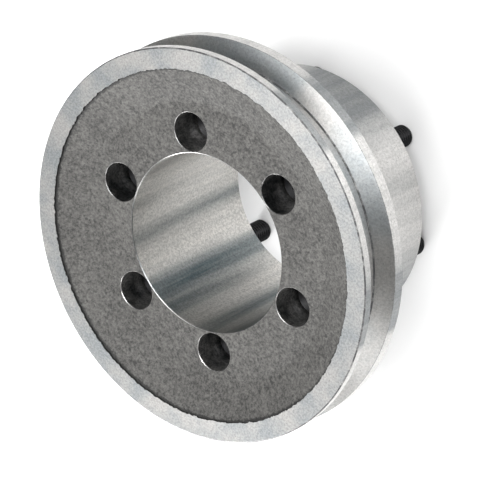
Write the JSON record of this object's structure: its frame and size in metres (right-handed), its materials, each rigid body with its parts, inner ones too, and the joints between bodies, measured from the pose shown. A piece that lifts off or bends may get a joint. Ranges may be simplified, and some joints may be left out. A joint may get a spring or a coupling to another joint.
{
  "type": "crankshaft pulley",
  "caption": "V-belt crankshaft pulley with a dished front face, a through bore and a long hub, held by sunk socket head cap screws.",
  "frame": {"origin": "on the pulley's axis, level with the tips of the screws on which it stands", "axes": "+Z along the axis towards the front face, +X through the screw hole that starts the even pattern"},
  "size_m": [0.14, 0.14, 0.08],
  "materials": {
    "pulley": "turned bright, the dished front face left as cast",
    "screws": "black oxide"
  },
  "bodies": {
    "root": {"pulley": "pulley", "cap_screw_1": "screws", "cap_screw_2": "screws", "cap_screw_3": "screws", "cap_screw_4": "screws", "cap_screw_5": "screws", "cap_screw_6": "screws"}
  },
  "joints": []
}
